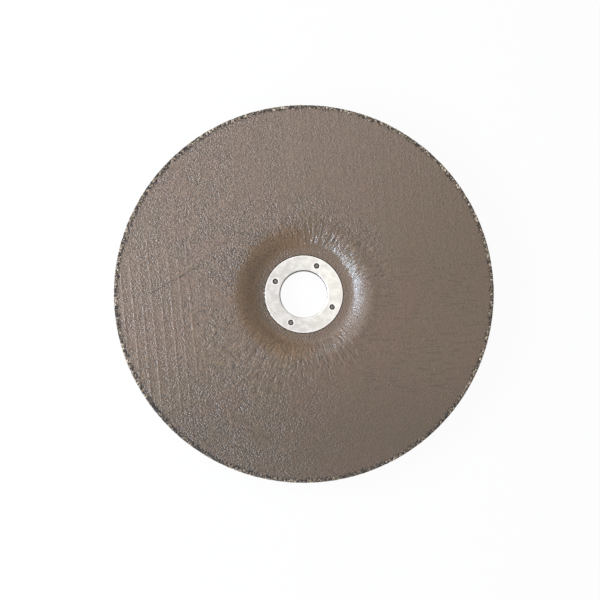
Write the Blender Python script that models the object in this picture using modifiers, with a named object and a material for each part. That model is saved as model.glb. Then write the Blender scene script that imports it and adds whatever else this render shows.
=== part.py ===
"""A depressed-centre cut-off wheel for an angle grinder: a moulded abrasive disc with a pressed steel
arbor ring set in its hub. It lies as it rests on a table, on its hub's back face, with the recess up.

Frame: metres, +Z up along the wheel's axis. The origin is on that axis, in the hub's back face.
"""

import math

import bmesh
import bpy

# The abrasive disc
DISC_DIAMETER = 0.180
DISC_THICKNESS = 0.0030
HUB_OFFSET = 0.0046  # how far the hub's floor lies below the disc's face
FLANK_RUN = 0.0145  # the flank's width, measured along the radius
FLOOR_BEND_RADIUS = 0.0070  # of the front surface, where the floor turns up into the flank
FLOOR_MARGIN = 0.0020  # flat floor left round the arbor ring
RIM_ROUND = 0.0004

# The arbor ring, an eyelet pressed from steel sheet
BORE_DIAMETER = 0.02223
RING_SHEET = 0.0005
RING_FLANGE_WIDTH = 0.0074  # from the bore to the flange's outer edge
RING_BEND = 0.0004  # inside radius of the bend from the flange into the collar
COLLAR_INSET = 0.0002  # how far the collar ends short of the hub's back face
RING_HOLES = 4
RING_HOLE_DIAMETER = 0.0026
RING_HOLE_ANGLE = math.radians(65.7)  # the first hole, from +X

# The bond that has risen into the ring's holes
PLUG_INSET = 0.00015  # the plugs end this far below the flange's face
PLUG_TAPER = 0.0002  # how much smaller their radius is at the top

# The reinforcing mesh, which shows through the face as low straight ridges
STRAND_PITCH = 0.00455
STRAND_SHIFT = 0.00095  # how far the middle strand runs beside the axis
STRAND_WIDTH = 0.0016
STRAND_CREST = 0.0004  # width of a ridge's flat top
STRAND_HEIGHT = 0.00012
STRAND_ROOT = 0.0001  # how deep a ridge is sunk into the disc
STRAND_TILT = math.radians(5.3)  # the strands lean this far from +Y towards -X
STRAND_MARGIN = 0.0007  # face left bare at the rim and at the flank

# The gathers that the covering makes on the flank, where it was pressed down
PLEATS = 66
PLEAT_HEIGHT = 0.0002

SEAT_GAP = 0.0003  # between the ring and the disc, all round
DISC_STEPS = 2 * PLEATS  # facets round the axis: a crest and a hollow for each pleat
RING_STEPS = 96
FLANK_STEPS = 4  # facets in each of the flank's two arcs
BEND_STEPS = 4
RIM_STEPS = 2
HOLE_STEPS = 20
OVERLAP = 0.0003  # how far a solid that is joined or cut runs past the face it meets
MERGE = 0.000001

# Sizes that follow from those above
DISC_RADIUS = DISC_DIAMETER / 2
BORE_RADIUS = BORE_DIAMETER / 2
FLANGE_RADIUS = BORE_RADIUS + RING_FLANGE_WIDTH
HOLE_CIRCLE_RADIUS = BORE_RADIUS + RING_FLANGE_WIDTH / 2
FACE_HEIGHT = HUB_OFFSET + DISC_THICKNESS
SEAT_RADIUS = FLANGE_RADIUS + SEAT_GAP
SEAT_HEIGHT = DISC_THICKNESS - RING_SHEET - SEAT_GAP
FLOOR_RADIUS = SEAT_RADIUS + FLOOR_MARGIN
FACE_RADIUS = FLOOR_RADIUS + FLANK_RUN  # where the flank runs out into the face
DISC_BORE_RADIUS = BORE_RADIUS + RING_SHEET + SEAT_GAP
FLANK_ANGLE = 2 * math.atan(HUB_OFFSET / FLANK_RUN)  # the slope where the flank's two arcs meet
FACE_BEND_RADIUS = FLANK_RUN / math.sin(FLANK_ANGLE) - FLOOR_BEND_RADIUS  # the flank's bend into the face


def clear_scene():
    """Removes whatever the scene holds."""
    for obj in list(bpy.data.objects):
        bpy.data.objects.remove(obj)


def new_collection(name):
    collection = bpy.data.collections.new(name)
    bpy.context.scene.collection.children.link(collection)
    return collection


def material(name, colour, roughness, metallic):
    """A Principled material of one colour."""
    made = bpy.data.materials.new(name)
    made.use_nodes = True
    shader = made.node_tree.nodes["Principled BSDF"]
    shader.inputs["Base Color"].default_value = (*colour, 1.0)
    shader.inputs["Roughness"].default_value = roughness
    shader.inputs["Metallic"].default_value = metallic
    return made


def add_object(name, mesh, collection):
    obj = bpy.data.objects.new(name, mesh)
    collection.objects.link(obj)
    return obj


def as_helper(obj):
    """Marks a solid that only cuts or joins another one."""
    obj.hide_render = True
    obj.display_type = "WIRE"
    return obj


def mesh_from_bmesh(name, bm):
    mesh = bpy.data.meshes.new(name)
    bm.to_mesh(mesh)
    bm.free()
    return mesh


def smooth(mesh, edge_angle):
    """Shades a mesh smooth, with the edges above this angle left sharp."""
    mesh.shade_smooth()
    mesh.set_sharp_from_angle(angle=edge_angle)


def arc(centre, radius, start, end, steps):
    """Points (radius from the axis, height) along an arc, or its one point where it has no radius."""
    if radius < MERGE:
        return [centre]
    points = []
    for i in range(steps + 1):
        angle = start + (end - start) * i / steps
        points.append((centre[0] + radius * math.cos(angle), centre[1] + radius * math.sin(angle)))
    return points


def turned(name, profile, steps, collection, closed=True):
    """An object whose Screw modifier turns a profile of (radius, height) points round the Z axis."""
    bm = bmesh.new()
    corners = [bm.verts.new((radius, 0.0, height)) for radius, height in profile]
    for first, second in zip(corners, corners[1:]):
        bm.edges.new((first, second))
    if closed:
        bm.edges.new((corners[-1], corners[0]))
    obj = add_object(name, mesh_from_bmesh(name, bm), collection)
    screw = obj.modifiers.new("Turn", "SCREW")
    screw.axis = "Z"
    screw.angle = 2 * math.pi
    screw.steps = steps
    screw.render_steps = steps
    screw.use_merge_vertices = True
    screw.merge_threshold = MERGE
    return obj


def flank(depth):
    """The S of the flank from the floor out to the face, for a surface at this depth below the front one."""
    lower_centre = (FLOOR_RADIUS, DISC_THICKNESS + FLOOR_BEND_RADIUS)
    upper_centre = (FACE_RADIUS, FACE_HEIGHT - FACE_BEND_RADIUS)
    down = -math.pi / 2
    up = math.pi / 2
    lower = arc(lower_centre, FLOOR_BEND_RADIUS + depth, down, down + FLANK_ANGLE, FLANK_STEPS)
    upper = arc(upper_centre, FACE_BEND_RADIUS - depth, up + FLANK_ANGLE, up, FLANK_STEPS)
    return lower + upper[1:]


def disc_profile():
    """The disc's section, run down its outer side: front face inwards to the bore, then the back outwards.

    The back face follows the front one at the disc's thickness, as it does in the press.
    """
    corner = max(RING_BEND - SEAT_GAP, 0.0)
    corner_centre = (DISC_BORE_RADIUS + corner, SEAT_HEIGHT - corner)
    rim_in = DISC_RADIUS - RIM_ROUND
    front_rim = arc((rim_in, FACE_HEIGHT - RIM_ROUND), RIM_ROUND, math.pi / 2, 0.0, RIM_STEPS)
    back_rim = arc((rim_in, HUB_OFFSET + RIM_ROUND), RIM_ROUND, 0.0, -math.pi / 2, RIM_STEPS)
    hub_corner = arc(corner_centre, corner, math.pi, math.pi / 2, 1)
    return (
        front_rim
        + back_rim
        + flank(DISC_THICKNESS)[::-1]
        + [(DISC_BORE_RADIUS, 0.0)]
        + hub_corner
        + [(SEAT_RADIUS, SEAT_HEIGHT), (SEAT_RADIUS, DISC_THICKNESS)]
        + flank(0.0)
    )


def pleat_rise(radius, angle):
    """How far the front of the flank is raised or sunk at a place by its gathers."""
    share = (radius - FLOOR_RADIUS) / FLANK_RUN
    if not 0.0 < share < 1.0:
        return 0.0
    return PLEAT_HEIGHT / 2 * math.sin(math.pi * share) * math.cos(PLEATS * angle)


def on_front_of_flank(radius, height):
    """True for a point of the flank's front surface, which is more than half the thickness above the back."""
    share = min(max((radius - FLOOR_RADIUS) / FLANK_RUN, 0.0), 1.0)
    return height > share * HUB_OFFSET + DISC_THICKNESS / 2


def press_pleats(mesh):
    """Gathers the front of the flank into radial pleats."""
    for vertex in mesh.vertices:
        radius = math.hypot(vertex.co.x, vertex.co.y)
        if on_front_of_flank(radius, vertex.co.z):
            vertex.co.z += pleat_rise(radius, math.atan2(vertex.co.y, vertex.co.x))


def open_flat_faces(mesh):
    """Dissolves the edges inside flat faces, so that the strands are joined to plain faces."""
    bm = bmesh.new()
    bm.from_mesh(mesh)
    bmesh.ops.dissolve_limit(bm, angle_limit=math.radians(0.05), verts=bm.verts, edges=bm.edges)
    bm.to_mesh(mesh)
    bm.free()


def strand_bar(bm, across, length):
    """Adds one straight ridge of the mesh, at this place across the strands and centred along them."""
    side_run = (STRAND_WIDTH - STRAND_CREST) / STRAND_HEIGHT  # what both sides gain for each metre down
    root_width = STRAND_WIDTH + side_run * STRAND_ROOT
    made = bmesh.ops.create_cube(bm, size=1.0)
    for vertex in made["verts"]:
        at_top = vertex.co.z > 0
        vertex.co.x = across + vertex.co.x * (STRAND_CREST if at_top else root_width)
        vertex.co.y *= length
        vertex.co.z = FACE_HEIGHT + (STRAND_HEIGHT if at_top else -STRAND_ROOT)


def make_strands(helpers):
    """The ridges of the reinforcing mesh, trimmed to the flat face between the flank and the rim."""
    bm = bmesh.new()
    count = int(DISC_RADIUS / STRAND_PITCH)
    for i in range(-count, count + 1):
        strand_bar(bm, STRAND_SHIFT + i * STRAND_PITCH, DISC_DIAMETER)
    bars = as_helper(add_object("strand_bars", mesh_from_bmesh("strand_bars", bm), helpers))
    bars.rotation_euler.z = STRAND_TILT
    inner = FACE_RADIUS + STRAND_MARGIN
    outer = DISC_RADIUS - RIM_ROUND - STRAND_MARGIN
    low = FACE_HEIGHT - STRAND_ROOT - OVERLAP
    high = FACE_HEIGHT + STRAND_HEIGHT + OVERLAP
    band = [(outer, high), (outer, low), (inner, low), (inner, high)]
    trim = as_helper(turned("strand_trim", band, DISC_STEPS, helpers))
    add_boolean(bars, "Trim to the face", "INTERSECT", trim)
    return bars


def hole_places():
    """(x, y) of each hole through the ring's flange."""
    for i in range(RING_HOLES):
        angle = RING_HOLE_ANGLE + 2 * math.pi * i / RING_HOLES
        yield HOLE_CIRCLE_RADIUS * math.cos(angle), HOLE_CIRCLE_RADIUS * math.sin(angle)


def upright_pegs(name, helpers, low, high, low_radius, high_radius):
    """A round peg at each of the ring's holes, as one mesh."""
    bm = bmesh.new()
    for x, y in hole_places():
        made = bmesh.ops.create_cone(
            bm,
            cap_ends=True,
            segments=HOLE_STEPS,
            radius1=low_radius,
            radius2=high_radius,
            depth=high - low,
        )
        bmesh.ops.translate(bm, verts=made["verts"], vec=(x, y, (high + low) / 2))
    return as_helper(add_object(name, mesh_from_bmesh(name, bm), helpers))


def add_boolean(obj, name, operation, other):
    boolean = obj.modifiers.new(name, "BOOLEAN")
    boolean.operation = operation
    boolean.solver = "EXACT"
    boolean.object = other


def make_disc(part, helpers):
    """The moulded disc: turned, gathered on its flank and ridged, with its bond in the ring's holes."""
    blank = turned("disc_blank", disc_profile(), DISC_STEPS, helpers)
    graph = bpy.context.evaluated_depsgraph_get()
    mesh = bpy.data.meshes.new_from_object(blank.evaluated_get(graph))
    bpy.data.objects.remove(blank)
    press_pleats(mesh)
    open_flat_faces(mesh)
    disc = add_object("abrasive_disc", mesh, part)
    low = SEAT_HEIGHT - OVERLAP
    high = DISC_THICKNESS - PLUG_INSET
    radius = RING_HOLE_DIAMETER / 2 - SEAT_GAP
    plugs = upright_pegs("bond_plugs", helpers, low, high, radius, radius - PLUG_TAPER)
    add_boolean(disc, "Mesh ridges", "UNION", make_strands(helpers))
    add_boolean(disc, "Bond in the ring's holes", "UNION", plugs)
    smooth(mesh, math.radians(30))
    mesh.materials.append(material("abrasive bond", (0.235, 0.195, 0.165), 0.75, 0.0))
    return disc


def ring_line():
    """The line of the sheet's visible side, from the collar's end up and out to the flange's edge."""
    turn = RING_BEND + RING_SHEET
    centre = (BORE_RADIUS + turn, DISC_THICKNESS - turn)
    bend = arc(centre, turn, math.pi, math.pi / 2, BEND_STEPS)
    return [(BORE_RADIUS, COLLAR_INSET)] + bend + [(FLANGE_RADIUS, DISC_THICKNESS)]


def make_ring(part, helpers):
    """The arbor ring: a sheet steel flange, bent down into a collar that lines the bore."""
    ring = turned("arbor_ring", ring_line(), RING_STEPS, part, closed=False)
    sheet = ring.modifiers.new("Sheet", "SOLIDIFY")
    sheet.thickness = RING_SHEET
    sheet.offset = -1.0
    sheet.use_even_offset = True
    radius = RING_HOLE_DIAMETER / 2
    low = DISC_THICKNESS - RING_SHEET - OVERLAP
    high = DISC_THICKNESS + OVERLAP
    drills = upright_pegs("ring_drills", helpers, low, high, radius, radius)
    add_boolean(ring, "Holes", "DIFFERENCE", drills)
    smooth(ring.data, math.radians(30))
    ring.data.materials.append(material("tinned steel", (0.80, 0.79, 0.77), 0.35, 1.0))
    return ring


def main():
    clear_scene()
    part = new_collection("cut_off_wheel")
    helpers = new_collection("helpers")
    make_disc(part, helpers)
    make_ring(part, helpers)


main()
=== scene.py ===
"""The looks of a depressed-centre cut-off wheel that lies on its hub with the recess up.

Lengths are in metres. The shaders' patterns count in millimetres.
"""

import math

import bmesh
import bpy
import numpy as np
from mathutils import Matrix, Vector
from mathutils.geometry import delaunay_2d_cdt


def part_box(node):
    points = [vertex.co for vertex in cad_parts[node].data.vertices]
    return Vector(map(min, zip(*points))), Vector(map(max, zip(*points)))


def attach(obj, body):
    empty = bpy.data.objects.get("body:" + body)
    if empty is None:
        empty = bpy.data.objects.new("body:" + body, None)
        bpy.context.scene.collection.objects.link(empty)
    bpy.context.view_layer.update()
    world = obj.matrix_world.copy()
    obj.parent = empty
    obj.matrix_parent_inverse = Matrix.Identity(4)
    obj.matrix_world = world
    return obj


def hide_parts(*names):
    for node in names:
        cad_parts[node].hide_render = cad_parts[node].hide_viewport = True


MM = 0.001

# The disc's section and the ring's, as their solids have them
FLANK_RUN = 14.5 * MM
FLOOR_BEND_RADIUS = 7.0 * MM
FLOOR_MARGIN = 2.0 * MM
SEAT_GAP = 0.3 * MM
BORE_RADIUS = 11.115 * MM
RING_SHEET = 0.5 * MM
RING_BEND = 0.4 * MM
COLLAR_INSET = 0.2 * MM
RIM_ROUND = 0.4 * MM
STRAND_HEIGHT = 0.12 * MM

# The ring's holes and the bond that fills them
RING_HOLES = 4
RING_HOLE_RADIUS = 1.3 * MM
RING_HOLE_ANGLE = math.radians(65.7)
RING_HOLE_FLARE = 0.1 * MM
PLUG_BASE_RADIUS = 1.0 * MM
PLUG_TOP_RADIUS = 0.8 * MM
PLUG_INSET = 0.15 * MM
PLUG_DOME = 0.08 * MM

# The reinforcing mesh under the face
STRAND_PITCH = 4.55 * MM
STRAND_SHIFT = 0.95 * MM
STRAND_TILT = math.radians(5.3)
STRAND_HALF_WIDTH = 0.6 * MM
STRAND_PATCH = 2.6 * MM  # a ridge's height changes over about this length
DASH_PITCH = 4.4 * MM  # the strands crossing underneath lift each ridge at this spacing

# Where the strands show through: each pair is the start and end of a slope, or a middle and a reach
PRINT_LEFT_SLOPE = (35 * MM, 64 * MM)
PRINT_LEFT_HEIGHT = (-20 * MM, 73 * MM)
PRINT_LEFT_GAIN = 1.35
PRINT_TOP_SLOPE = (20 * MM, 50 * MM)
PRINT_TOP_SIDE = (-60 * MM, 10 * MM)
PRINT_TOP = 0.23
PRINT_FAINTEST = 0.05

# Where the covering is gathered: a sector's middle and reach in degrees from +X, and its strength
GATHERED_SECTORS = ((62, 68, 1.0), (-85, 55, 0.9), (-10, 55, 0.35))
GATHER_FAINTEST = 0.12
GATHER_RISE_SLOPE = (22 * MM, 26 * MM)  # the radii over which the folds grow
GATHER_FALL_SLOPE = (33 * MM, 48 * MM)
WIDE_SECTOR = (-138, 55)  # here the folds run on over the face
WIDE_RISE_SLOPE = (24 * MM, 31 * MM)
WIDE_FALL_SLOPE = (46 * MM, 66 * MM)

# Relief of the front
RIDGE_RISE = 0.15 * MM
GATHER_RISE = 0.15 * MM
GATHER_RADIUS = 29 * MM  # where the folds have their nominal width
GATHER_SEAM = math.radians(130)  # the folds start and end here, where they are faintest
FOLD_WIDTH = 1.05 * MM
FOLD_STRETCH = 6  # how many times longer than wide a fold is
FINE_FOLD_WIDTH = 0.6 * MM
FINE_FOLD_STRETCH = 4
FOLD_WANDER = 0.5 * MM  # how far the folds stray sideways
FOLD_WANDER_LENGTH = 5 * MM
FLOOR_DISH = 0.16 * MM  # how much the hub's floor rises from the ring's edge to the flank
FLOOR_DISH_RUN = 3.2 * MM
SHOULDER_RISE = 0.12 * MM  # the flank's upper part stands a little proud before it bends into the face
SHOULDER_RADIUS = 31 * MM
SHOULDER_RUN = 5 * MM
PEEL_RISE = 0.012 * MM
PEEL_SIZE = 1.5 * MM
WARP_RISE = 0.030 * MM
WARP_SIZE = 9 * MM

# Relief of the back and the rim
BACK_RISE = 0.020 * MM
BACK_SIZE = 2.5 * MM
RIM_WEAR = 0.14 * MM
RIM_GRAIN = 1.1 * MM
RIM_FINE_GRAIN = 0.45 * MM
EDGE_CHIP = 0.12 * MM
CHIP_SIZE = 0.7 * MM

# How finely the surfaces are divided
FLANK_DIVISIONS = 720
RIM_DIVISIONS = 1440
SEAT_DIVISIONS = 360
BACK_DIVISIONS = 300
PLUG_DIVISIONS = 24
HOLE_DIVISIONS = 48
FLANK_STEP = 0.55 * MM
SEAT_STEP = 1.1 * MM
RIM_STEP = 0.5 * MM
ROW_STEP = 1.0 * MM
BACK_STEP = 2.2 * MM
BACK_FLANK_STEP = 1.2 * MM
BACK_RIM_STEP = 0.7 * MM
WALL_SLANT = 0.01 * MM  # keeps the seat's wall a surface that can be drawn in plan
RIM_ROWS = 7
RING_STEPS = 256
BEND_STEPS = 8
STRAND_COLUMNS = (-1.5, -0.8, -0.5, -0.22, 0.0, 0.22, 0.5, 0.8, 1.5)  # mm beside each strand
PLUG_RINGS = (0.25 * MM, 0.55 * MM, PLUG_TOP_RADIUS, PLUG_BASE_RADIUS)
PLUG_CLEARANCE = 0.3 * MM  # kept free of the seat's own points round each plug
PLAN_TOLERANCE = 0.0001 * MM  # points of a plan nearer than this would be one
DISC_SHARP_ANGLE = math.radians(50)  # edges that turn further than this are drawn sharp
RING_SHARP_ANGLE = math.radians(42)

# The scratch on the face and the rim's grit, in millimetres
SCRATCH_START = (-73.5, -1.0)
SCRATCH_LENGTH = 30.3
SCRATCH_TURN = math.radians(30.2)
GRIT_SIZE = 0.74

# The disc's colours, as linear red, green, blue and alpha
BOND = (0.162, 0.102, 0.0590, 1)
BOND_REDDER = (0.168, 0.100, 0.0615, 1)
# painted sheen: a pale wash over the face where the light falls from the upper left
PAINTED_SHEEN = (0.44, 0.335, 0.285, 1)
# painted shade colour: a browner tint for the left flank, the side of the recess that lies in shade
SHADED_FLANK_BROWN = (0.220, 0.116, 0.048, 1)
SEAT_SHADE = (0.030, 0.024, 0.020, 1)
PLUG_BOND = (0.170, 0.128, 0.098, 1)
SHEEN_TINT = (0.80, 0.95, 1.0, 1.0)
SHEEN_INDEX = 1.7  # the bond's index of refraction
GRIT_STOPS = (  # a grain's shade from 0 to 1, and its red, green and blue
    (0.0, (0.014, 0.004, 0.001)),
    (0.36, (0.042, 0.020, 0.007)),
    (0.50, (0.158, 0.110, 0.067)),
    (0.78, (0.330, 0.245, 0.165)),
    (1.0, (0.800, 0.670, 0.510)),
)

# The ring's colours
TIN_GREY = (0.77, 0.745, 0.685, 1)
TIN_PALE = (0.87, 0.85, 0.78, 1)
# painted shade: the tin's darker copy for the ring's left side
SHADED_TIN_GREY = (0.60, 0.572, 0.548, 1)
SHADED_TIN_PALE = (0.69, 0.67, 0.648, 1)
TIN_FLECK = (0.46, 0.42, 0.38, 1)
TIN_SCRATCH = (0.60, 0.58, 0.56, 1)
TIN_BURR = (0.92, 0.91, 0.89, 1)
# painted highlight: the pale line along the flange's outer edge
TIN_EDGE_HIGHLIGHT = (0.88, 0.82, 0.78, 1)
HOLE_SHADE = (0.10, 0.09, 0.08, 1)
BORE_SHADE = (0.075, 0.072, 0.070, 1)

# The picture, in pixels of the photograph
PHOTO_SIZE = 600
PHOTO_CENTRE = (303.8, 293.0)
PHOTO_RADIUS = 190.1
CAMERA_DISTANCE = 3.0
CAMERA_TILT = math.radians(6.5)
CAMERA_SENSOR = 36.0  # mm

# Light: lamps in degrees, metres and watts, with the azimuth from +X, the picture's right
FILL_STRENGTH = 0.35
KEY_LAMP = {"azimuth": 189, "elevation": 22, "distance": 0.62, "wide": 0.90, "tall": 0.14, "power": 7.8}
TOP_LAMP = {"azimuth": 130, "elevation": 50, "distance": 0.43, "wide": 0.36, "tall": 0.30, "power": 0.42}
KEY_COLOUR = (0.79, 0.86, 1.0)
TOP_COLOUR = (1.0, 1.0, 1.0)

# The floor
FLOOR_HALF = 3.0
FLOOR_LEVEL = -0.05 * MM
FLOOR_GREY = 0.9
FLOOR_GLOW = 0.95  # how much of the floor shows as plain white; the rest keeps the shadow

NOISE_TABLE = 256

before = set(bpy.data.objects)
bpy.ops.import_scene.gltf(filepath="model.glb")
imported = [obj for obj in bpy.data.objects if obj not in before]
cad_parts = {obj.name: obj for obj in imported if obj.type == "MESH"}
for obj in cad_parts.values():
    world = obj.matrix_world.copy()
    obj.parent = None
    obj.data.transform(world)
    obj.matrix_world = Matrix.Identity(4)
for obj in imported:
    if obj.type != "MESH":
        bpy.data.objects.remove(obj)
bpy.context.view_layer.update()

# Sizes that follow from the solids' boxes
_, disc_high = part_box("abrasive_disc")
_, ring_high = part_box("arbor_ring")
RIM_RADIUS = disc_high.x
THICKNESS = ring_high.z  # the ring's flange lies level with the hub's floor
FACE_HEIGHT = disc_high.z - STRAND_HEIGHT
HUB_OFFSET = FACE_HEIGHT - THICKNESS
FLANGE_RADIUS = ring_high.x
SEAT_RADIUS = FLANGE_RADIUS + SEAT_GAP
SEAT_HEIGHT = THICKNESS - RING_SHEET - SEAT_GAP
FLOOR_RADIUS = SEAT_RADIUS + FLOOR_MARGIN
FACE_RADIUS = FLOOR_RADIUS + FLANK_RUN
DISC_BORE_RADIUS = BORE_RADIUS + RING_SHEET + SEAT_GAP
HOLE_CIRCLE_RADIUS = (BORE_RADIUS + FLANGE_RADIUS) / 2
FLANK_ANGLE = 2 * math.atan(HUB_OFFSET / FLANK_RUN)
FACE_BEND_RADIUS = FLANK_RUN / math.sin(FLANK_ANGLE) - FLOOR_BEND_RADIUS
RIM_EDGE = RIM_RADIUS - RIM_ROUND  # where the faces turn down into the rim

# Radii between which a surface's points are spaced alike
SEAT_ZONE = (DISC_BORE_RADIUS + 0.5 * MM, SEAT_RADIUS - 0.6 * MM)
FLOOR_ZONE = (SEAT_RADIUS + 0.4 * MM, FLOOR_RADIUS - 0.5 * MM)
FLANK_ZONE = (FLOOR_RADIUS, FACE_RADIUS + 1.2 * MM)
FACE_ZONE = (FACE_RADIUS + 1.7 * MM, RIM_EDGE - 1.8 * MM)
RIM_ZONE = (RIM_EDGE - 1.4 * MM, RIM_EDGE - 0.4 * MM)
BACK_FLOOR_ZONE = (DISC_BORE_RADIUS + 1.2 * MM, FLOOR_RADIUS - 1.2 * MM)
BACK_FLANK_ZONE = (FLOOR_RADIUS, FACE_RADIUS)
BACK_FACE_ZONE = (FACE_RADIUS + 1.2 * MM, RIM_EDGE - 1.8 * MM)
BACK_RIM_ZONE = (RIM_EDGE - 1.2 * MM, RIM_EDGE - 0.5 * MM)

# Radii over which the surface changes
FACE_START = (FACE_RADIUS - 2 * MM, FACE_RADIUS + 3 * MM)
SKIN_START = (SEAT_RADIUS + 0.1 * MM, SEAT_RADIUS + 1.0 * MM)
CHIP_START = (RIM_RADIUS - 1.6 * MM, RIM_RADIUS - 0.6 * MM)


# Noise and shaping functions

def smooth_share(share):
    """A share from 0 to 1, eased at both ends."""
    return share * share * (3 - 2 * share)


def noise(x, y, cell, seed):
    """Smooth noise from -1 to 1, with features of about one cell."""
    table = np.random.default_rng(seed).uniform(-1.0, 1.0, (NOISE_TABLE, NOISE_TABLE))
    column = np.floor(x / cell).astype(int)
    row = np.floor(y / cell).astype(int)
    share_x = smooth_share(x / cell - column)
    share_y = smooth_share(y / cell - row)
    left, right = column % NOISE_TABLE, (column + 1) % NOISE_TABLE
    low, high = row % NOISE_TABLE, (row + 1) % NOISE_TABLE
    below = table[left, low] * (1 - share_x) + table[right, low] * share_x
    above = table[left, high] * (1 - share_x) + table[right, high] * share_x
    return below * (1 - share_y) + above * share_y


def ramp(value, start, end):
    """0 at start, 1 at end, and smooth between them."""
    return smooth_share(np.clip((value - start) / (end - start), 0.0, 1.0))


def bump(value, centre, reach):
    """1 at centre, falling smoothly to 0 at this reach from it."""
    return 1 - ramp(np.abs(value - centre), 0.0, reach)


def plateau(value, rise, fall):
    """1 between two slopes, each given by its start and end, and 0 outside them."""
    return ramp(value, *rise) * (1 - ramp(value, *fall))


def sector(angle, centre, reach):
    """1 at the middle of a sector round the axis, in degrees, falling to 0 at its ends."""
    away = (np.degrees(angle) - centre + 180) % 360 - 180
    return 1 - ramp(np.abs(away), reach / 2, reach)


# The disc's plain surfaces

def plain_front(radius):
    """The front surface's height, from the seat under the ring out to the rim."""
    run = np.clip(radius - FLOOR_RADIUS, 0.0, FLANK_RUN)
    turn = FLOOR_BEND_RADIUS * math.sin(FLANK_ANGLE)
    lower_run = np.minimum(run, turn)
    lower = THICKNESS + FLOOR_BEND_RADIUS - np.sqrt(FLOOR_BEND_RADIUS**2 - lower_run**2)
    upper_run = np.minimum(FLANK_RUN - run, FACE_BEND_RADIUS)
    upper = FACE_HEIGHT - FACE_BEND_RADIUS + np.sqrt(FACE_BEND_RADIUS**2 - upper_run**2)
    height = np.where(run < turn, lower, upper)
    return np.where(radius < SEAT_RADIUS, SEAT_HEIGHT, height)


def plain_back(radius):
    """The back surface's height, which keeps the disc's thickness from the front one."""
    lower_radius = FLOOR_BEND_RADIUS + THICKNESS
    upper_radius = FACE_BEND_RADIUS - THICKNESS
    run = np.clip(radius - FLOOR_RADIUS, 0.0, FLANK_RUN)
    turn = lower_radius * math.sin(FLANK_ANGLE)
    lower_run = np.minimum(run, turn)
    lower = lower_radius - np.sqrt(lower_radius**2 - lower_run**2)
    upper_run = np.minimum(FLANK_RUN - run, upper_radius)
    upper = HUB_OFFSET - upper_radius + np.sqrt(upper_radius**2 - upper_run**2)
    return np.where(run < turn, lower, upper)


# What the surface shows of the mesh and of the pressing

def on_face(radius):
    """1 on the flat face outside the recess and 0 inside it."""
    return ramp(radius, *FACE_START)


def print_strength(x, y):
    """How clearly the strands show through the front: best on the left, a little at the top."""
    left = ramp(-x, *PRINT_LEFT_SLOPE) * np.minimum(PRINT_LEFT_GAIN * bump(y, *PRINT_LEFT_HEIGHT), 1.0)
    top = PRINT_TOP * ramp(y, *PRINT_TOP_SLOPE) * ramp(x, *PRINT_TOP_SIDE)
    return np.clip(left + top, PRINT_FAINTEST, 1.0)


def ridges(x, y):
    """The strands' ridges, from 0 to 1, lifted in dashes where others cross underneath."""
    across = x * math.cos(STRAND_TILT) + y * math.sin(STRAND_TILT) - STRAND_SHIFT
    along = y * math.cos(STRAND_TILT) - x * math.sin(STRAND_TILT)
    strand = np.round(across / STRAND_PITCH) * STRAND_PITCH
    shape = 1 - ramp(np.abs(across - strand), 0.0, STRAND_HALF_WIDTH)
    start = noise(strand, 0.0 * strand, STRAND_PITCH, seed=11) * DASH_PITCH
    dash = 0.5 + 0.5 * np.cos(2 * math.pi * (along + start) / DASH_PITCH)
    uneven = 0.85 + 0.40 * noise(strand, along, STRAND_PATCH, seed=12)
    return np.clip(shape * (0.55 + 0.45 * dash) * uneven, 0.0, 1.0)


def gather_strength(x, y):
    """How strongly the covering is gathered, on the flank and beyond it at the lower left."""
    radius = np.hypot(x, y)
    angle = np.arctan2(y, x)
    on_flank = plateau(radius, GATHER_RISE_SLOPE, GATHER_FALL_SLOPE)
    sectors = sum(strength * sector(angle, middle, reach) for middle, reach, strength in GATHERED_SECTORS)
    outside = plateau(radius, WIDE_RISE_SLOPE, WIDE_FALL_SLOPE)
    wide = sector(angle, *WIDE_SECTOR) * outside
    return np.clip(on_flank * (GATHER_FAINTEST + sectors) + wide, 0.0, 1.0)


def gathers(x, y):
    """Uneven folds that run outwards, from -1 to 1."""
    radius = np.hypot(x, y)
    arc = (np.arctan2(y, x) - GATHER_SEAM) % (2 * math.pi) * GATHER_RADIUS
    arc += FOLD_WANDER * noise(x, y, FOLD_WANDER_LENGTH, seed=21)
    coarse = noise(arc, radius / FOLD_STRETCH, FOLD_WIDTH, seed=22)
    fine = noise(arc, radius / FINE_FOLD_STRETCH, FINE_FOLD_WIDTH, seed=23)
    return 0.7 * coarse + 0.3 * fine


def peel_strength(x, y):
    """How strong the skin's specks are: least at the right, more on the left and round the upper flank."""
    radius = np.hypot(x, y)
    peel = 0.30 + 1.04 * ramp(-x, -50 * MM, 60 * MM)
    peel += ramp(y, 0.0, 60 * MM) * (0.22 - 0.40 * ramp(-x, -40 * MM, 20 * MM))
    peel += 0.45 * bump(radius, 38 * MM, 16 * MM) * ramp(y, -5 * MM, 25 * MM)
    return peel


def painted_sheen_strength(x, y):
    """How strong the painted sheen is: a pale wash that stands in for the light and grows towards the upper
    left.
    """
    return ramp(0.77 * y - 0.64 * x, -50 * MM, 75 * MM)


def hole_centres():
    """(x, y) of the middle of each of the ring's holes."""
    for i in range(RING_HOLES):
        angle = RING_HOLE_ANGLE + 2 * math.pi * i / RING_HOLES
        yield HOLE_CIRCLE_RADIUS * math.cos(angle), HOLE_CIRCLE_RADIUS * math.sin(angle)


def plug_rise(x, y):
    """How far the bond in the ring's holes stands above the seat, each plug with a low dome."""
    rise = np.zeros(len(x))
    for hole_x, hole_y in hole_centres():
        away = np.hypot(x - hole_x, y - hole_y)
        wall = np.clip((PLUG_BASE_RADIUS - away) / (PLUG_BASE_RADIUS - PLUG_TOP_RADIUS), 0.0, 1.0)
        dome = PLUG_DOME * np.clip(away / PLUG_TOP_RADIUS, 0.0, 1.0) ** 2
        rise += wall * (THICKNESS - PLUG_INSET - SEAT_HEIGHT - dome)
    return rise


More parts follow.
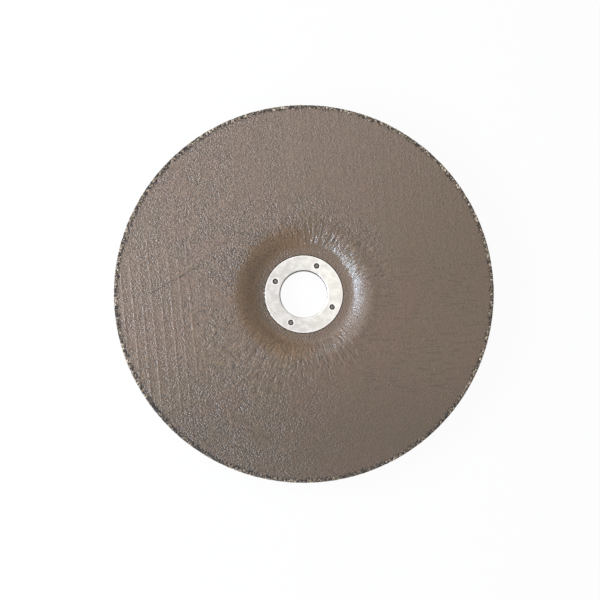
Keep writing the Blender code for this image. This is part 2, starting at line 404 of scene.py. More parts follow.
def flank_fullness(radius):
    """How far the pressed flank stands above the plain one, from the ring's edge to the face."""
    dish = FLOOR_DISH * ramp(radius, SEAT_RADIUS, SEAT_RADIUS + FLOOR_DISH_RUN)
    shoulder = SHOULDER_RISE * ramp(radius, SHOULDER_RADIUS - SHOULDER_RUN, SHOULDER_RADIUS)
    return (dish + shoulder) * (1 - ramp(radius, SHOULDER_RADIUS, SHOULDER_RADIUS + SHOULDER_RUN))


def front_height(x, y):
    """The front surface's height with its relief, nowhere above the solid's ridges."""
    radius = np.hypot(x, y)
    relief = RIDGE_RISE * print_strength(x, y) * ridges(x, y) * on_face(radius)
    relief += GATHER_RISE * gather_strength(x, y) * gathers(x, y)
    relief += flank_fullness(radius)
    relief += PEEL_RISE * noise(x, y, PEEL_SIZE, seed=31) * ramp(radius, *SKIN_START)
    relief += WARP_RISE * noise(x, y, WARP_SIZE, seed=32) * on_face(radius)
    height = plain_front(radius) + relief + plug_rise(x, y)
    return np.minimum(height, FACE_HEIGHT + STRAND_HEIGHT)


def back_height(x, y):
    """The back surface's height, a little uneven outside the hub."""
    radius = np.hypot(x, y)
    return plain_back(radius) + BACK_RISE * noise(x, y, BACK_SIZE, seed=41) * on_face(radius)


# The disc's mesh

def circle(radius, divisions, turn=0.0):
    """(x, y) of points round the axis, turned by this share of one division."""
    angle = 2 * math.pi * (np.arange(divisions) + turn) / divisions
    return np.column_stack((radius * np.cos(angle), radius * np.sin(angle)))


def circles(start, end, step, divisions):
    """Rings of points from one radius to another, each turned half a division from the last."""
    count = max(1, round((end - start) / step))
    return [circle(start + (end - start) * i / count, divisions, i % 2 / 2) for i in range(count + 1)]


def lattice(columns, row_step, inner, outer):
    """Points in columns along the strands, between two radii."""
    rows = np.arange(-RIM_RADIUS, RIM_RADIUS, row_step)
    parts = []
    for i, column in enumerate(columns):
        along = rows + row_step * (i % 2) / 2
        parts.append(np.column_stack((np.full(len(along), column + STRAND_SHIFT), along)))
    across, along = np.concatenate(parts).T
    x = across * math.cos(STRAND_TILT) - along * math.sin(STRAND_TILT)
    y = across * math.sin(STRAND_TILT) + along * math.cos(STRAND_TILT)
    radius = np.hypot(x, y)
    kept = (radius > inner) & (radius < outer)
    return np.column_stack((x, y))[kept]


def strand_columns():
    """Places across the strands, close together on each ridge."""
    count = int(RIM_RADIUS / STRAND_PITCH) + 1
    strands = [i * STRAND_PITCH for i in range(-count, count + 1)]
    return [strand + beside * MM for strand in strands for beside in STRAND_COLUMNS]


def seat_plan():
    """Points on the seat under the ring, with rings of their own round each plug."""
    place = np.concatenate(circles(*SEAT_ZONE, SEAT_STEP, SEAT_DIVISIONS // 2))
    plugs = []
    for hole_x, hole_y in hole_centres():
        away = np.hypot(place[:, 0] - hole_x, place[:, 1] - hole_y)
        place = place[away > PLUG_BASE_RADIUS + PLUG_CLEARANCE]
        for radius in PLUG_RINGS:
            plugs.append(circle(radius, PLUG_DIVISIONS) + (hole_x, hole_y))
    return [place, *plugs]


def front_plan():
    """Plan of the front surface: the bore's edge first, the rim's edge last."""
    return (
        [circle(DISC_BORE_RADIUS, SEAT_DIVISIONS)]
        + seat_plan()
        + [circle(SEAT_RADIUS - WALL_SLANT, SEAT_DIVISIONS)]
        + [circle(SEAT_RADIUS + WALL_SLANT, SEAT_DIVISIONS)]
        + circles(*FLOOR_ZONE, FLANK_STEP, FLANK_DIVISIONS // 2)
        + circles(*FLANK_ZONE, FLANK_STEP, FLANK_DIVISIONS)
        + [lattice(strand_columns(), ROW_STEP, *FACE_ZONE)]
        + circles(*RIM_ZONE, RIM_STEP, RIM_DIVISIONS // 2)
        + [circle(RIM_EDGE, RIM_DIVISIONS)]
    )


def back_plan():
    """Plan of the back surface, in the same order."""
    columns = np.arange(-RIM_RADIUS, RIM_RADIUS, BACK_STEP)
    return (
        [circle(DISC_BORE_RADIUS, SEAT_DIVISIONS)]
        + circles(*BACK_FLOOR_ZONE, BACK_STEP, BACK_DIVISIONS // 2)
        + circles(*BACK_FLANK_ZONE, BACK_FLANK_STEP, BACK_DIVISIONS)
        + [lattice(columns, BACK_STEP, *BACK_FACE_ZONE)]
        + circles(*BACK_RIM_ZONE, BACK_RIM_STEP, RIM_DIVISIONS // 2)
        + [circle(RIM_EDGE, RIM_DIVISIONS)]
    )


def triangles(plan):
    """A plan's points and the triangles over them, with the bore left open."""
    place = np.concatenate(plan)
    points = [Vector(row) for row in place.tolist()]
    found = delaunay_2d_cdt(points, [], [], 0, PLAN_TOLERANCE, False)
    if len(found[0]) != len(place):
        raise ValueError("two points of the plan are in one place")
    faces = np.array(found[2])
    middle = place[faces].mean(axis=1)
    open_radius = DISC_BORE_RADIUS * math.cos(math.pi / SEAT_DIVISIONS)
    return place, faces[np.hypot(middle[:, 0], middle[:, 1]) > open_radius]


def rim_wear(angle, height):
    """How far the rim's broken grain stands back from its full radius."""
    arc = angle * RIM_RADIUS
    coarse = noise(arc, height, RIM_GRAIN, seed=51)
    fine = noise(arc, height, RIM_FINE_GRAIN, seed=52)
    return RIM_WEAR * np.clip(0.5 + 0.4 * coarse + 0.6 * fine, 0.0, 1.5)


def rim_rows():
    """Rows of points down the rim, between the front's edge and the back's."""
    low = HUB_OFFSET + RIM_ROUND
    high = FACE_HEIGHT - RIM_ROUND
    corner = RIM_ROUND * math.sqrt(0.5)
    corner_radius = RIM_RADIUS - RIM_ROUND + corner
    stations = [(corner_radius, high + corner)]
    stations += [(RIM_RADIUS, high - (high - low) * i / (RIM_ROWS - 1)) for i in range(RIM_ROWS)]
    stations += [(corner_radius, low - corner)]
    angle = 2 * math.pi * np.arange(RIM_DIVISIONS) / RIM_DIVISIONS
    rows = []
    for radius, height in stations:
        worn = radius - rim_wear(angle, height)
        level = np.full(RIM_DIVISIONS, height)
        rows.append(np.column_stack((worn * np.cos(angle), worn * np.sin(angle), level)))
    return rows


def band(first, second):
    """Quads between two closed rows of point numbers, as seen from outside with the first on top."""
    return np.column_stack((first, second, np.roll(second, -1), np.roll(first, -1))).tolist()


def chip_edge(points, sign, seed):
    """Chips a face near the rim, into the disc."""
    radius = np.hypot(points[:, 0], points[:, 1])
    arc = np.arctan2(points[:, 1], points[:, 0]) * RIM_RADIUS
    chip = np.clip(noise(arc, radius, CHIP_SIZE, seed) + 0.2, 0.0, 1.0)
    points[:, 2] -= sign * EDGE_CHIP * ramp(radius, *CHIP_START) * chip


def write_masks(mesh, points):
    """Stores what the disc's shader reads from the shape, point by point."""
    x, y, z = points.T
    radius = np.hypot(x, y)
    on_front = z > plain_back(radius) + THICKNESS / 2
    masks = {
        "front": on_front,
        "print": print_strength(x, y) * on_face(radius) * on_front,
        "gather": gather_strength(x, y) * on_front,
        "peel": peel_strength(x, y),
        # painted sheen, growing towards the upper left
        "painted_sheen": painted_sheen_strength(x, y) * on_face(radius) * on_front,
    }
    for name, values in masks.items():
        attribute = mesh.attributes.new(name, "FLOAT", "POINT")
        attribute.data.foreach_set("value", values.astype(np.float32))


def add_object(name, data):
    """An object in the scene, with its mesh, lamp or camera."""
    obj = bpy.data.objects.new(name, data)
    bpy.context.scene.collection.objects.link(obj)
    return obj


def make_disc():
    """The bonded disc as one closed mesh, with its relief."""
    front_place, front_faces = triangles(front_plan())
    back_place, back_faces = triangles(back_plan())
    front = np.column_stack((front_place, front_height(*front_place.T)))
    back = np.column_stack((back_place, back_height(*back_place.T)))
    front[:SEAT_DIVISIONS, 2] -= RING_BEND - SEAT_GAP
    chip_edge(front, sign=1, seed=53)
    chip_edge(back, sign=-1, seed=54)
    rim = rim_rows()
    points = np.concatenate([front, back, *rim])
    back_start = len(front)
    rim_start = back_start + len(back)
    around = np.arange(RIM_DIVISIONS)
    rows = [back_start - RIM_DIVISIONS + around]
    rows += [rim_start + i * RIM_DIVISIONS + around for i in range(len(rim))]
    rows += [rim_start - RIM_DIVISIONS + around]
    faces = front_faces.tolist() + (back_faces[:, ::-1] + back_start).tolist()
    for first, second in zip(rows, rows[1:]):
        faces += band(first, second)
    bore = np.arange(SEAT_DIVISIONS)
    faces += band(back_start + bore, bore)
    mesh = bpy.data.meshes.new("bonded_disc")
    mesh.from_pydata(points.tolist(), [], faces)
    mesh.shade_smooth()
    mesh.set_sharp_from_angle(angle=DISC_SHARP_ANGLE)
    write_masks(mesh, points)
    return add_object("bonded_disc", mesh)


# The ring's mesh

def arc_points(centre, radius, start, end, steps):
    """(radius, height) of points along an arc round a centre."""
    points = []
    for i in range(steps + 1):
        angle = start + (end - start) * i / steps
        points.append((centre[0] + radius * math.cos(angle), centre[1] + radius * math.sin(angle)))
    return points


def ring_section():
    """The ring's section as (radius, height): over the bend, out to the edge and back underneath."""
    edge = 0.14 * MM
    lip = 0.10 * MM
    turn = RING_BEND + RING_SHEET
    quarter = math.pi / 2
    bend = (BORE_RADIUS + turn, THICKNESS - turn)
    top_edge = (FLANGE_RADIUS - edge, THICKNESS - edge)
    low_edge = (FLANGE_RADIUS - lip, THICKNESS - RING_SHEET + lip)
    outer_end = (BORE_RADIUS + RING_SHEET - lip, COLLAR_INSET + lip)
    inner_end = (BORE_RADIUS + lip, COLLAR_INSET + lip)
    return (
        arc_points(bend, turn, 2 * quarter, quarter, BEND_STEPS)
        + arc_points(top_edge, edge, quarter, 0.0, 3)
        + arc_points(low_edge, lip, 0.0, -quarter, 2)
        + arc_points(bend, RING_BEND, quarter, 2 * quarter, BEND_STEPS)
        + arc_points(outer_end, lip, 0.0, -quarter, 2)
        + arc_points(inner_end, lip, -quarter, -2 * quarter, 2)
    )


def turned(name, section, steps):
    """A closed mesh turned round the axis from a section that runs clockwise."""
    count = len(section)
    points = []
    faces = []
    for i in range(steps):
        angle = 2 * math.pi * i / steps
        points += [(radius * math.cos(angle), radius * math.sin(angle), height) for radius, height in section]
        here = i * count
        there = (i + 1) % steps * count
        for corner in range(count):
            after = (corner + 1) % count
            faces.append((here + corner, here + after, there + after, there + corner))
    mesh = bpy.data.meshes.new(name)
    mesh.from_pydata(points, [], faces)
    return add_object(name, mesh)


def hole_pegs(name, low, high, low_radius, high_radius):
    """A round peg at each of the ring's holes, as one mesh that only cuts."""
    bm = bmesh.new()
    for x, y in hole_centres():
        made = bmesh.ops.create_cone(
            bm,
            cap_ends=True,
            segments=HOLE_DIVISIONS,
            radius1=low_radius,
            radius2=high_radius,
            depth=high - low,
        )
        bmesh.ops.translate(bm, verts=made["verts"], vec=(x, y, (high + low) / 2))
    mesh = bpy.data.meshes.new(name)
    bm.to_mesh(mesh)
    bm.free()
    return add_object(name, mesh)


def make_ring():
    """The arbor ring: a flange bent down into a collar, with four holes whose edges are broken."""
    blank = turned("ring_blank", ring_section(), RING_STEPS)
    reach = RING_SHEET
    radius = RING_HOLE_RADIUS
    flare = RING_HOLE_FLARE
    drills = hole_pegs("drills", THICKNESS - RING_SHEET - reach, THICKNESS + reach, radius, radius)
    sinks = hole_pegs("sinks", THICKNESS - flare, THICKNESS + flare, radius, radius + 2 * flare)
    for cutter in (drills, sinks):
        boolean = blank.modifiers.new(cutter.name, "BOOLEAN")
        boolean.operation = "DIFFERENCE"
        boolean.object = cutter
    graph = bpy.context.evaluated_depsgraph_get()
    mesh = bpy.data.meshes.new_from_object(blank.evaluated_get(graph))
    for helper in (blank, drills, sinks):
        bpy.data.objects.remove(helper)
    mesh.name = "eyelet_ring"
    mesh.shade_smooth()
    mesh.set_sharp_from_angle(angle=RING_SHARP_ANGLE)
    ring = add_object("eyelet_ring", mesh)
    weighted_normals = ring.modifiers.new("Flat faces stay flat", "WEIGHTED_NORMAL")
    weighted_normals.keep_sharp = True
    return ring


# Shader nodes

def add_node(tree, kind, inputs, **settings):
    """A node with its settings and inputs, where an input is a value or another node's output."""
    node = tree.nodes.new(kind)
    for name, value in settings.items():
        setattr(node, name, value)
    for name, value in inputs.items():
        if isinstance(value, bpy.types.NodeSocket):
            tree.links.new(value, node.inputs[name])
        else:
            node.inputs[name].default_value = value
    return node


def calculate(tree, operation, *values):
    """The output of a Math node."""
    return add_node(tree, "ShaderNodeMath", dict(enumerate(values)), operation=operation).outputs[0]


def product(tree, value, *others):
    """A value times each of the others."""
    for other in others:
        value = calculate(tree, "MULTIPLY", value, other)
    return value


def weighted(tree, value, terms):
    """A value with each (pattern, weight) pair's product added to it."""
    for pattern, weight in terms:
        value = calculate(tree, "MULTIPLY_ADD", pattern, weight, value)
    return value


def step_up(tree, value, start, end):
    """0 below start, 1 above end and smooth between them; the other way round if start is above end."""
    rising = start < end
    inputs = {
        "Value": value,
        "From Min": start if rising else end,
        "From Max": end if rising else start,
        "To Min": 0.0 if rising else 1.0,
        "To Max": 1.0 if rising else 0.0,
    }
    return add_node(tree, "ShaderNodeMapRange", inputs, interpolation_type="SMOOTHSTEP").outputs["Result"]


def spread(tree, value, low, high):
    """A value from 0 to 1 spread over another range."""
    inputs = {"Value": value, "To Min": low, "To Max": high}
    return add_node(tree, "ShaderNodeMapRange", inputs).outputs["Result"]


def placed(tree, place, scale=(1.0, 1.0, 1.0), turn=0.0, shift=(0.0, 0.0, 0.0)):
    """Coordinates scaled, then turned round Z, then shifted."""
    inputs = {"Vector": place, "Scale": scale, "Rotation": (0.0, 0.0, turn), "Location": shift}
    return add_node(tree, "ShaderNodeMapping", inputs).outputs["Vector"]


def axes(tree, place):
    """The X, Y and Z of coordinates, each as a value."""
    return tuple(add_node(tree, "ShaderNodeSeparateXYZ", {"Vector": place}).outputs)


def mottle(tree, place, size, detail=2.0, roughness=0.5):
    """Noise from 0 to 1, about 0.5, with features of about this size in the coordinates' unit."""
    inputs = {"Vector": place, "Scale": 1.0 / size, "Detail": detail, "Roughness": roughness}
    return add_node(tree, "ShaderNodeTexNoise", inputs).outputs["Fac"]


def cells(tree, place, size):
    """A Voronoi node whose cells are about this size."""
    return add_node(tree, "ShaderNodeTexVoronoi", {"Vector": place, "Scale": 1.0 / size})


def mixed(tree, share, first, second):
    """The second colour over the first, by this share."""
    inputs = {0: share, 6: first, 7: second}
    return add_node(tree, "ShaderNodeMix", inputs, data_type="RGBA").outputs[2]


def painted(tree, colour, coats):
    """A colour with coats laid over it in turn, each a share, its strength and a colour."""
    for share, strength, coat in coats:
        colour = mixed(tree, product(tree, share, strength), colour, coat)
    return colour


def graded(tree, value, stops):
    """A colour ramp through (position, colour) stops."""
    node = add_node(tree, "ShaderNodeValToRGB", {"Fac": value})
    marks = node.color_ramp.elements
    while len(marks) < len(stops):
        marks.new(0.5)
    for mark, (position, colour) in zip(marks, stops):
        mark.position = position
        mark.color = (*colour, 1.0)
    return node.outputs["Color"]


def millimetres(tree):
    """The object's own coordinates, in millimetres."""
    place = add_node(tree, "ShaderNodeTexCoord", {}).outputs["Object"]
    return placed(tree, place, scale=(1 / MM, 1 / MM, 1 / MM))


def plan_radius(tree, place):
    """The distance from the wheel's axis."""
    flat = add_node(tree, "ShaderNodeVectorMath", {0: place, 1: (1.0, 1.0, 0.0)}, operation="MULTIPLY")
    return add_node(tree, "ShaderNodeVectorMath", {0: flat.outputs[0]}, operation="LENGTH").outputs["Value"]


def mask(tree, name):
    """A value that the mesh holds point by point."""
    return add_node(tree, "ShaderNodeAttribute", {}, attribute_name=name).outputs["Fac"]


def new_material(name):
    """A material with its node tree and its Principled shader."""
    made = bpy.data.materials.new(name)
    made.use_nodes = True
    return made, made.node_tree, made.node_tree.nodes["Principled BSDF"]


def raise_surface(tree, shader, height):
    """Gives a shader a relief of this height, in millimetres."""
    relief = add_node(tree, "ShaderNodeBump", {"Height": height, "Strength": 1.0, "Distance": MM})
    tree.links.new(relief.outputs["Normal"], shader.inputs["Normal"])


# The disc's material

def scuff(tree, place):
    """The long thin scratch on the left of the face, from 0 to 1."""
    start_x, start_y = SCRATCH_START
    shift_x = -(start_x * math.cos(SCRATCH_TURN) + start_y * math.sin(SCRATCH_TURN))
    shift_y = start_x * math.sin(SCRATCH_TURN) - start_y * math.cos(SCRATCH_TURN)
    own = placed(tree, place, turn=-SCRATCH_TURN, shift=(shift_x, shift_y, 0.0))
    along, across, _ = axes(tree, own)
    wander = spread(tree, mottle(tree, own, size=9.0, detail=1.0), -0.7, 0.7)
    beside = calculate(tree, "ABSOLUTE", calculate(tree, "ADD", across, wander))
    line = step_up(tree, beside, 0.50, 0.1)
    begun = step_up(tree, along, 0.0, 1.5)
    unfinished = step_up(tree, along, SCRATCH_LENGTH, SCRATCH_LENGTH - 2.0)
    broken = step_up(tree, mottle(tree, own, size=1.6, detail=1.0), 0.12, 0.34)
    return product(tree, line, product(tree, begun, unfinished), broken)


def strand_lines(tree, place):
    """Crests along the mesh's ridges, from 0 to 1.2, steeper on their left and broken into dashes."""
    own = placed(tree, place, turn=-STRAND_TILT, shift=(-STRAND_SHIFT / MM, 0.0, 0.0))
    across, _, _ = axes(tree, own)
    half_pitch = STRAND_PITCH / MM / 2
    beside = calculate(tree, "WRAP", across, half_pitch, -half_pitch)
    left = step_up(tree, beside, -0.55, 0.0)
    right = step_up(tree, beside, 1.0, 0.0)
    dash = mottle(tree, placed(tree, own, scale=(1 / 4.5, 1 / 1.6, 1.0)), size=1.0, detail=0.0)
    clearness = spread(tree, step_up(tree, dash, 0.38, 0.54), 0.15, 1.2)
    return product(tree, left, right, mask(tree, "print"), clearness)


def dashes(tree, place):
    """Faint thin dashes across the strands, right of the hub and below, from 0 to 1."""
    x, y, _ = axes(tree, place)
    stretched = placed(tree, place, scale=(1 / 6.0, 1 / 0.55, 1.0))
    line = step_up(tree, mottle(tree, stretched, size=1.0, detail=0.0), 0.64, 0.70)
    right = step_up(tree, x, 20.0, 32.0)
    above = step_up(tree, y, 24.0, 10.0)
    below = step_up(tree, y, -60.0, -40.0)
    return product(tree, line, product(tree, above, below), right)


def streaks(tree, place, radius):
    """Fine radial streaks where the covering is gathered, about 0 and up to 0.55 to either side."""
    x, y, _ = axes(tree, placed(tree, place, turn=math.pi - GATHER_SEAM))
    arc = product(tree, calculate(tree, "ARCTAN2", y, x), GATHER_RADIUS / MM)
    unrolled = add_node(tree, "ShaderNodeCombineXYZ", {"X": arc, "Y": radius}).outputs["Vector"]
    line = mottle(tree, placed(tree, unrolled, scale=(1.0, 1 / 3.5, 1.0)), size=0.95, detail=1.0)
    patch = step_up(tree, mottle(tree, place, size=3.5, detail=1.0), 0.38, 0.60)
    strength = product(tree, mask(tree, "gather"), spread(tree, patch, 0.25, 1.1))
    return product(tree, calculate(tree, "SUBTRACT", line, 0.5), strength)


def exposed_grain(tree, place, radius, left_side):
    """Where the rim's grain shows, from 0 to 1, with a ragged inner edge and more of it on the left."""
    inset = calculate(tree, "SUBTRACT", RIM_RADIUS / MM, radius)
    inset = weighted(tree, inset, ((left_side, -0.6),))
    ragged = spread(tree, mottle(tree, place, size=0.9, detail=2.0), -2.2, 2.2)
    return step_up(tree, calculate(tree, "ADD", inset, ragged), 1.9, 1.3)


def specks(tree, place):
    """The skin's fine light and dark specks, about 0, fainter where it is gathered or shows the mesh."""
    fine = mottle(tree, placed(tree, place, scale=(0.92, 1.12, 1.0), turn=0.1), size=0.66, detail=1.0)
    gathered = spread(tree, mask(tree, "gather"), 1.0, 0.8)
    printed = spread(tree, mask(tree, "print"), 1.0, 0.75)
    return product(tree, calculate(tree, "SUBTRACT", fine, 0.5), mask(tree, "peel"), gathered, printed)


def disc_patterns(tree, place, radius):
    """What the disc's colour, gloss and relief are made of, each a value over the surface."""
    x, y, _ = axes(tree, place)
    seat = SEAT_RADIUS / MM
    front = mask(tree, "front")
    left_side = step_up(tree, x, 10.0, -75.0)
    past_floor = step_up(tree, radius, FLOOR_RADIUS / MM, FLOOR_RADIUS / MM + 3.0)
    before_face = step_up(tree, radius, FACE_RADIUS / MM - 1.0, FACE_RADIUS / MM - 7.0)
    flank = product(tree, past_floor, before_face, front)
    return {
        "left_side": left_side,
        # painted shade: darker towards the bottom, away from the light
        "painted_shade_below": product(tree, step_up(tree, y, -20.0, -75.0), front),
        "flank": flank,
        # painted shade colour on the left flank, which faces away from the light
        "shaded_left_flank": product(tree, flank, step_up(tree, x, 12.0, -10.0)),
        # painted shade on the upper flank, which faces away from the light
        "shaded_top_flank": product(tree, flank, step_up(tree, y, -5.0, 22.0)),
        # painted shade in the gap round the ring, on the seat under it
        "under_ring": product(tree, step_up(tree, radius, seat + 0.15, seat - 0.05), front),
        "grain": exposed_grain(tree, place, radius, left_side),
        "coarse": mottle(tree, place, size=1.7, detail=2.0),
        "speck": specks(tree, place),
        "streak": streaks(tree, place, radius),
        "strand": strand_lines(tree, place),
        "scratch": product(tree, scuff(tree, place), front),
        "dash": product(tree, dashes(tree, place), front),
    }


def skin_colour(tree, place, patterns):
    """The bond's brown, with all that makes it paler or darker: its own tones and marks, and painted sheen
    and painted shade.
    """
    tone = step_up(tree, mottle(tree, place, size=15.0, detail=1.0), 0.35, 0.65)
    bond = painted(tree, mixed(tree, tone, BOND, BOND_REDDER), (
        # painted sheen, paler towards the upper left
        (mask(tree, "painted_sheen"), 0.16, PAINTED_SHEEN),
        # painted shade colour: browner on the shaded left flank
        (patterns["shaded_left_flank"], 1.0, SHADED_FLANK_BROWN),
    ))
    value = weighted(tree, 1.0, (
        # painted shade towards the bottom
        (patterns["painted_shade_below"], -0.25),
        # painted shade on the upper flank
        (patterns["shaded_top_flank"], -0.12),
        (patterns["speck"], 1.95),
        (patterns["streak"], 1.6),
        # painted highlight: paler along the strands' crests, where light from the left catches them
        (patterns["strand"], 0.10),
        (patterns["scratch"], -0.50),
        (patterns["dash"], -0.24),
    ))
    return add_node(tree, "ShaderNodeHueSaturation", {"Color": bond, "Value": value}).outputs["Color"]


def grain_colour(tree, radius, grit, patterns):
    """The colour of the rim's bare grains, with painted shade that darkens them on the left, below and where
    the grain starts.
    """
    rim = RIM_RADIUS / MM
    start = step_up(tree, radius, rim - 1.2, rim - 1.8)
    shade = add_node(tree, "ShaderNodeSeparateColor", {"Color": grit.outputs["Color"]}).outputs["Red"]
    # painted shade: darker grains on the left, below, and at the inner edge of the grain band
    shade = weighted(tree, shade, (
        (patterns["left_side"], -0.08),
        # painted shade: darker grain towards the bottom
        (patterns["painted_shade_below"], -0.13),
        (start, -0.16),
    ))
    return graded(tree, shade, GRIT_STOPS)


def seat_colour(tree, radius):
    """The seat under the ring, with painted shade at its edge in the gap round the ring, and the paler bond
    further in, which fills the holes.
    """
    seat = SEAT_RADIUS / MM
    return mixed(tree, step_up(tree, radius, seat - 1.2, seat - 1.8), SEAT_SHADE, PLUG_BOND)


def disc_relief(tree, place, grit, patterns):
    """The height of the disc's fine relief, in millimetres."""
    patches = step_up(tree, mottle(tree, place, size=9.0, detail=1.0), 0.35, 0.62)
    uneven = spread(tree, patches, 0.7, 1.3)
    smoother_flank = spread(tree, patterns["flank"], 1.0, 0.7)
    height = product(tree, patterns["speck"], 0.56, uneven, smoother_flank)
    return weighted(tree, height, (
        (patterns["streak"], 0.54),
        (patterns["strand"], 0.085),
        (patterns["coarse"], 0.03),
        (patterns["scratch"], -0.12),
        (patterns["dash"], -0.03),
        (product(tree, grit.outputs["Distance"], patterns["grain"]), -0.35),
    ))


def disc_material():
    """Brown phenolic bond with a faint sheen, bare grain at the rim, and painted shade on the seat under the
    ring.
    """
    made, tree, shader = new_material("abrasive_bond")
    place = millimetres(tree)
    radius = plan_radius(tree, place)
    patterns = disc_patterns(tree, place, radius)
    grit = cells(tree, place, GRIT_SIZE)
    colour = painted(tree, skin_colour(tree, place, patterns), (
        (patterns["grain"], 1.0, grain_colour(tree, radius, grit, patterns)),
        (patterns["under_ring"], 1.0, seat_colour(tree, radius)),
    ))
    gloss_change = spread(tree, patterns["coarse"], -0.10, 0.10)
    roughness = weighted(tree, calculate(tree, "ADD", gloss_change, 0.40), (
        (patterns["flank"], -0.12),
        (patterns["grain"], 0.38),
    ))
    tree.links.new(colour, shader.inputs["Base Color"])
    tree.links.new(roughness, shader.inputs["Roughness"])
    shader.inputs["IOR"].default_value = SHEEN_INDEX
    shader.inputs["Specular Tint"].default_value = SHEEN_TINT
    raise_surface(tree, shader, disc_relief(tree, place, grit, patterns))
    return made


# The ring's material

def from_hole(tree, place):
    """The distance from the nearest of the ring's holes, which lie in four equal quarters."""
    own_x, own_y, _ = axes(tree, placed(tree, place, turn=-RING_HOLE_ANGLE))
    x = calculate(tree, "ABSOLUTE", own_x)
    y = calculate(tree, "ABSOLUTE", own_y)
    along = calculate(tree, "SUBTRACT", calculate(tree, "MAXIMUM", x, y), HOLE_CIRCLE_RADIUS / MM)
    beside = calculate(tree, "MINIMUM", x, y)
    squares = calculate(tree, "MULTIPLY_ADD", along, along, product(tree, beside, beside))
    return calculate(tree, "SQRT", squares)


def hair_scratches(tree, place):
    """Fine scratches on the ring's lower right, from 0 to 1."""
    x, y, _ = axes(tree, place)
    hair = placed(tree, place, scale=(1 / 0.22, 1 / 4.5, 1.0), turn=math.radians(52))
    line = step_up(tree, mottle(tree, hair, size=1.0, detail=1.0), 0.62, 0.72)
    return product(tree, line, step_up(tree, calculate(tree, "SUBTRACT", x, y), 8.0, 18.0))


def painted_bore_shade(tree, place):
    """Painted shade on the upper half of the bore, from 0 to 1."""
    x, y, z = axes(tree, place)
    in_bore = step_up(tree, z, THICKNESS / MM - 0.05, THICKNESS / MM - 0.30)
    upward = weighted(tree, y, ((x, -0.2),))
    return product(tree, in_bore, step_up(tree, upward, -7.0, -1.0))


def ring_material():
    """Tinned sheet steel, nearly white, with faint blotches, fine scratches, painted shade on its left side,
    a painted highlight round its outer edge and painted shade in its bore.
    """
    made, tree, shader = new_material("tinned_steel")
    shader.inputs["Metallic"].default_value = 1.0
    place = millimetres(tree)
    x, y, _ = axes(tree, place)
    hole = RING_HOLE_RADIUS / MM
    flange = FLANGE_RADIUS / MM
    away = from_hole(tree, place)
    blotch = mottle(tree, place, size=3.2, detail=3.0)
    cloud = step_up(tree, blotch, 0.38, 0.62)
    # painted shade on the ring's left side
    left_shade = step_up(tree, weighted(tree, x, ((y, 0.2),)), 22.0, -10.0)
    fleck = step_up(tree, mottle(tree, place, size=0.55, detail=1.0), 0.62, 0.71)
    scratch = hair_scratches(tree, place)
    burr = step_up(tree, away, hole + 0.8, hole + 0.3)
    # painted highlight along the flange's outer edge
    edge = step_up(tree, plan_radius(tree, place), flange - 1.0, flange - 0.3)
    in_hole = step_up(tree, away, hole + 0.06, hole - 0.04)
    tone = painted(tree, mixed(tree, cloud, TIN_GREY, TIN_PALE), (
        (left_shade, 0.9, mixed(tree, cloud, SHADED_TIN_GREY, SHADED_TIN_PALE)),
        (fleck, 0.45, TIN_FLECK),
        (scratch, 0.25, TIN_SCRATCH),
        (burr, 0.6, TIN_BURR),
        (edge, 0.6, TIN_EDGE_HIGHLIGHT),
        (in_hole, 1.0, HOLE_SHADE),
        # painted shade in the upper half of the bore
        (painted_bore_shade(tree, place), 1.0, BORE_SHADE),
    ))
    tree.links.new(tone, shader.inputs["Base Color"])
    tree.links.new(spread(tree, blotch, 0.30, 0.46), shader.inputs["Roughness"])
    raise_surface(tree, shader, weighted(tree, product(tree, blotch, 0.02), ((scratch, -0.006),)))
    return made


# Floor, light and camera

def seen_directly(tree):
    """1 for rays that show the background: to the camera, in a gloss or through glass."""
    rays = add_node(tree, "ShaderNodeLightPath", {})
    plain = calculate(tree, "MAXIMUM", rays.outputs["Is Camera Ray"], rays.outputs["Is Glossy Ray"])
    return calculate(tree, "MAXIMUM", plain, rays.outputs["Is Transmission Ray"])


def make_floor():
    """A white floor that shows as white and keeps a faint shadow."""
    mesh = bpy.data.meshes.new("floor")
    sides = ((-1, -1), (1, -1), (1, 1), (-1, 1))
    corners = [(x * FLOOR_HALF, y * FLOOR_HALF, FLOOR_LEVEL) for x, y in sides]
    mesh.from_pydata(corners, [], [(0, 1, 2, 3)])
    floor = add_object("floor", mesh)
    made = bpy.data.materials.new("floor")
    made.use_nodes = True
    tree = made.node_tree
    tree.nodes.remove(tree.nodes["Principled BSDF"])
    grey = (FLOOR_GREY, FLOOR_GREY, FLOOR_GREY, 1)
    matte = add_node(tree, "ShaderNodeBsdfDiffuse", {"Color": grey}).outputs[0]
    glow = add_node(tree, "ShaderNodeEmission", {"Color": (1, 1, 1, 1), "Strength": 1.0}).outputs[0]
    share = product(tree, seen_directly(tree), FLOOR_GLOW)
    shown = add_node(tree, "ShaderNodeMixShader", {0: share, 1: matte, 2: glow}).outputs[0]
    tree.links.new(shown, tree.nodes["Material Output"].inputs["Surface"])
    mesh.materials.append(made)


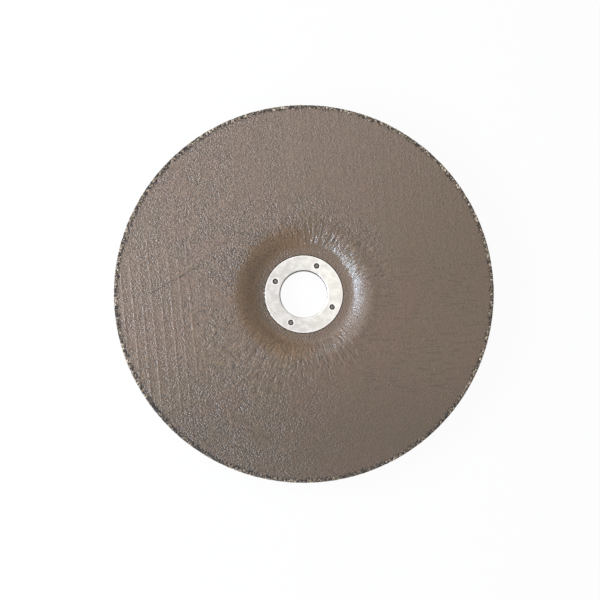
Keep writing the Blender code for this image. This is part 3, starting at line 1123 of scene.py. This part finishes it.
def make_world():
    """An even fill light, with a white backdrop where it is seen."""
    world = bpy.data.worlds.new("studio")
    bpy.context.scene.world = world
    world.use_nodes = True
    tree = world.node_tree
    white = (1, 1, 1, 1)
    fill = tree.nodes["Background"]
    fill.inputs["Color"].default_value = white
    fill.inputs["Strength"].default_value = FILL_STRENGTH
    backdrop = add_node(tree, "ShaderNodeBackground", {"Color": white, "Strength": 1.0})
    inputs = {0: seen_directly(tree), 1: fill.outputs[0], 2: backdrop.outputs[0]}
    shown = add_node(tree, "ShaderNodeMixShader", inputs).outputs[0]
    tree.links.new(shown, tree.nodes["World Output"].inputs["Surface"])


def make_lamp(name, azimuth, elevation, distance, wide, tall, power, colour):
    """A soft lamp that faces the hub."""
    data = bpy.data.lights.new(name, "AREA")
    data.shape = "RECTANGLE"
    data.size = wide
    data.size_y = tall
    data.energy = power
    data.color = colour
    turn = math.radians(azimuth)
    rise = math.radians(elevation)
    away = Vector((math.cos(rise) * math.cos(turn), math.cos(rise) * math.sin(turn), math.sin(rise)))
    lamp = add_object(name, data)
    lamp.location = away * distance
    lamp.rotation_euler = away.to_track_quat("Z", "Y").to_euler()


def make_camera():
    """A camera above the wheel, leaning a little towards the picture's bottom."""
    pixel = RIM_RADIUS / PHOTO_RADIUS
    middle = PHOTO_SIZE / 2
    target = Vector((
        (middle - PHOTO_CENTRE[0]) * pixel,
        (PHOTO_CENTRE[1] - middle) * pixel,
        FACE_HEIGHT,
    ))
    back = Vector((0.0, -math.sin(CAMERA_TILT), math.cos(CAMERA_TILT)))
    data = bpy.data.cameras.new("camera")
    data.sensor_width = CAMERA_SENSOR
    data.lens = CAMERA_SENSOR * CAMERA_DISTANCE / (PHOTO_SIZE * pixel)
    camera = add_object("camera", data)
    camera.location = target + back * CAMERA_DISTANCE
    camera.rotation_euler = back.to_track_quat("Z", "Y").to_euler()
    bpy.context.scene.camera = camera


def dress(piece, node, material):
    """Puts a piece in a CAD node's place, with its material."""
    piece.data.materials.clear()
    piece.data.materials.append(material)
    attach(piece, "root")
    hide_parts(node)


dress(make_disc(), "abrasive_disc", disc_material())
dress(make_ring(), "arbor_ring", ring_material())
make_floor()
make_world()
make_lamp("key", colour=KEY_COLOUR, **KEY_LAMP)
make_lamp("top", colour=TOP_COLOUR, **TOP_LAMP)
make_camera()
bpy.context.scene.view_settings.view_transform = "Standard"
